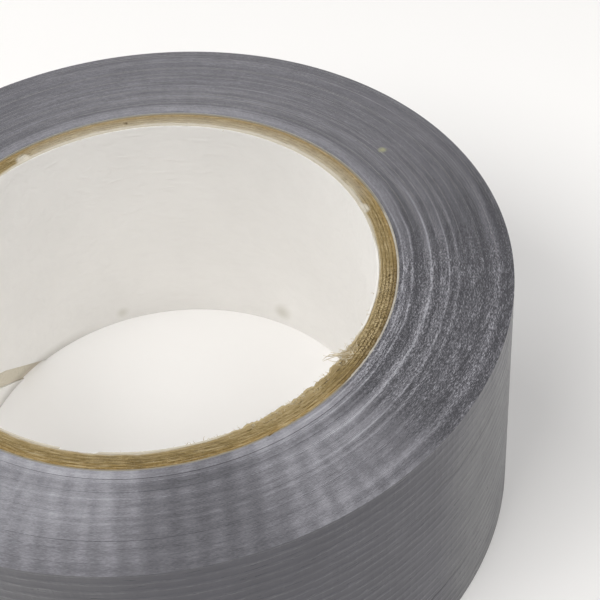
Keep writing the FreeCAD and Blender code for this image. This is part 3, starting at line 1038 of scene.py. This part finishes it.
# each kind: how many, bearing and its spread, inward reach of the roots, lengths, drift along the
# rim and its spread, climb, and girth; one tuft is torn up, and the frayed side is fuzzy
fibreKinds = [
    {"count": 6, "bearing": -35.0, "spread": 0.8, "roots": (0.0, 0.5), "lengths": (2.2, 4.3),
     "drift": (-0.52, 0.26), "climb": (-0.12, 0.1), "girth": (2.0, 3.4)},
    {"count": 84, "bearing": -34.6, "spread": 1.35, "roots": (-0.1, 1.4), "lengths": (0.5, 1.6),
     "drift": (-0.4, 0.5), "climb": (-0.1, 0.4), "girth": (1.1, 2.6)},
    {"count": 420, "bearing": -50.0, "spread": 15.0, "roots": (-0.2, 1.2), "lengths": (0.2, 0.75),
     "drift": (0.0, 0.7), "climb": (-0.2, 0.25), "girth": (0.7, 1.6)},
    {"count": 140, "bearing": 130.0, "spread": 80.0, "roots": (0.0, 2.4), "lengths": (0.2, 0.6),
     "drift": (0.0, 0.6), "climb": (-0.2, 0.2), "girth": (0.6, 1.2)},
]


def scatterFibres(kinds, seed):
    # roots on the rim and aims inwards, drawn at random for each kind
    rng = np.random.default_rng(seed)
    parts = []
    for kind in kinds:
        count = kind["count"]
        angle = np.radians(rng.normal(kind["bearing"], kind["spread"], count))
        radius = boreRadius + rng.uniform(*kind["roots"], count) * millimetre
        height = rollWidth - rng.uniform(0.03, 0.2, count) * millimetre
        inwards = np.stack([-np.cos(angle), -np.sin(angle), np.zeros(count)], -1)
        around = np.stack([-np.sin(angle), np.cos(angle), np.zeros(count)], -1)
        aim = inwards * rng.uniform(0.3, 1.0, count)[:, None]
        aim = aim + around * rng.normal(*kind["drift"], count)[:, None]
        aim[:, 2] += rng.uniform(*kind["climb"], count)
        aim /= np.linalg.norm(aim, axis=1)[:, None]
        length = rng.uniform(*kind["lengths"], count) * millimetre
        curl = rng.normal(0, 0.22, (count, 2))
        girth = fibres["thickness"] * rng.uniform(*kind["girth"], count)
        parts.append((roundPlace(radius, angle, height), aim, length, curl, girth))
    return [np.concatenate(column) for column in zip(*parts)]


coreFibres = makeFibres("coreFibres", *scatterFibres(fibreKinds, 31), fibreFinish)
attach(coreFibres, "roll")
print("fibres made:", sum(kind["count"] for kind in fibreKinds))

# floor, light and camera

stage = {
    "floorTone": (0.94, 0.93, 0.92),
    "roughness": 0.9,
    "specular": 0.1,
    "floorSize": 3.0,
    "floorDrop": 0.03 * millimetre,
    # distances in metres between which the floor fades into the backdrop
    "fadeStart": 0.3,
    "fadeEnd": 0.9,
    "worldTone": (1.0, 0.99, 0.985),
    "worldStrength": 0.2,
}
lamps = {
    # azimuth, elevation and distance of the place, then size, power and tone
    "keyLamp": (228.0, 52.0, 1.0, 0.5, 4.37, (1.0, 0.99, 0.975)),
    "frontLamp": (-25.0, 50.0, 1.0, 0.5, 4.03, (1.0, 0.995, 0.985)),
    "backLamp": (135.0, 28.0, 1.0, 0.5, 2.85, (1.0, 0.995, 0.985)),
    "leftLamp": (200.0, 50.0, 1.0, 0.5, 1.35, (1.0, 0.99, 0.98)),
    "lowLeftLamp": (180.0, 28.0, 1.0, 0.5, 1.19, (1.0, 0.99, 0.98)),
    "lowRightLamp": (0.0, 28.0, 1.0, 0.5, 0.96, (1.0, 1.0, 1.0)),
}


def makeStage():
    # a pale floor just under the roll, and an even backdrop
    size = stage["floorSize"]
    mesh = bpy.data.meshes.new("floor")
    corners = [(-size, -size, 0), (size, -size, 0), (size, size, 0), (-size, size, 0)]
    mesh.from_pydata(corners, [], [(0, 1, 2, 3)])
    mesh.transform(Matrix.Translation((0, 0, -stage["floorDrop"])))
    material, tree, shader = newFinish("floorPaint", stage["roughness"], stage["specular"])
    shader.inputs["Base Color"].default_value = (*stage["floorTone"], 1.0)
    # the far floor is seen in the backdrop's own tone, and gives no light to the object
    length = vectorWork(tree, "LENGTH", objectPlace(tree))
    far = ease(tree, length, stage["fadeStart"], stage["fadeEnd"])
    far = times(tree, far, put(tree, "ShaderNodeLightPath").outputs["Is Camera Ray"])
    backdrop = put(tree, "ShaderNodeEmission", {"Color": (*stage["worldTone"], 1.0), "Strength": 1.0})
    faded = put(tree, "ShaderNodeMixShader", {0: far, 1: shader.outputs[0], 2: backdrop.outputs[0]})
    tree.links.new(faded.outputs[0], tree.nodes["Material Output"].inputs["Surface"])
    mesh.materials.append(material)
    floor = addObject("floor", mesh)
    world = bpy.data.worlds.new("plainWorld")
    bpy.context.scene.world = world
    world.use_nodes = True
    sky = world.node_tree.nodes["Background"]
    sky.inputs["Color"].default_value = (*stage["worldTone"], 1.0)
    seen = put(world.node_tree, "ShaderNodeLightPath").outputs["Is Camera Ray"]
    strength = span(world.node_tree, seen, stage["worldStrength"], 1.0)
    world.node_tree.links.new(strength, sky.inputs["Strength"])


def addLamp(name, place, aim, size, power, tone):
    # a square area lamp at a place, facing the aim
    lamp = bpy.data.lights.new(name, "AREA")
    lamp.size, lamp.energy, lamp.color = size, power, tone
    holder = addObject(name, lamp)
    holder.location = place
    holder.rotation_mode = "QUATERNION"
    holder.rotation_quaternion = (Vector(aim) - Vector(place)).to_track_quat("-Z", "Y")


makeStage()
for lampName, (azimuth, elevation, distance, size, power, tone) in lamps.items():
    level, turn = math.radians(elevation), math.radians(azimuth)
    reach = distance * math.cos(level)
    place = (reach * math.cos(turn), reach * math.sin(turn), distance * math.sin(level))
    addLamp(lampName, place, (0, 0, 0.02), size, power, tone)

cameraLook = {
    "lens": 95.27,
    "sensorWidth": 36.0,
    "clip": (0.01, 10.0),
    "elevation": 45.298,
    "roll": -4.849,
    "distance": 0.32356,
    "aim": (0.02492, 0.03806, 0.0),
}


def makeCamera():
    # looks along +Y and down by the elevation, turned about its own axis by the roll
    look = cameraLook
    tilt, roll = math.radians(look["elevation"]), math.radians(look["roll"])
    back = Vector((0, -math.cos(tilt), math.sin(tilt)))
    right = Vector((1, 0, 0))
    up = back.cross(right)
    turnedRight = math.cos(roll) * right + math.sin(roll) * up
    turnedUp = -math.sin(roll) * right + math.cos(roll) * up
    data = bpy.data.cameras.new("camera")
    data.lens, data.sensor_width = look["lens"], look["sensorWidth"]
    data.clip_start, data.clip_end = look["clip"]
    camera = addObject("camera", data)
    matrix = Matrix((turnedRight, turnedUp, back)).transposed().to_4x4()
    matrix.translation = Vector(look["aim"]) + back * look["distance"]
    camera.matrix_world = matrix
    bpy.context.scene.camera = camera


makeCamera()
bpy.context.scene.view_settings.view_transform = "Standard"
bpy.context.view_layer.update()
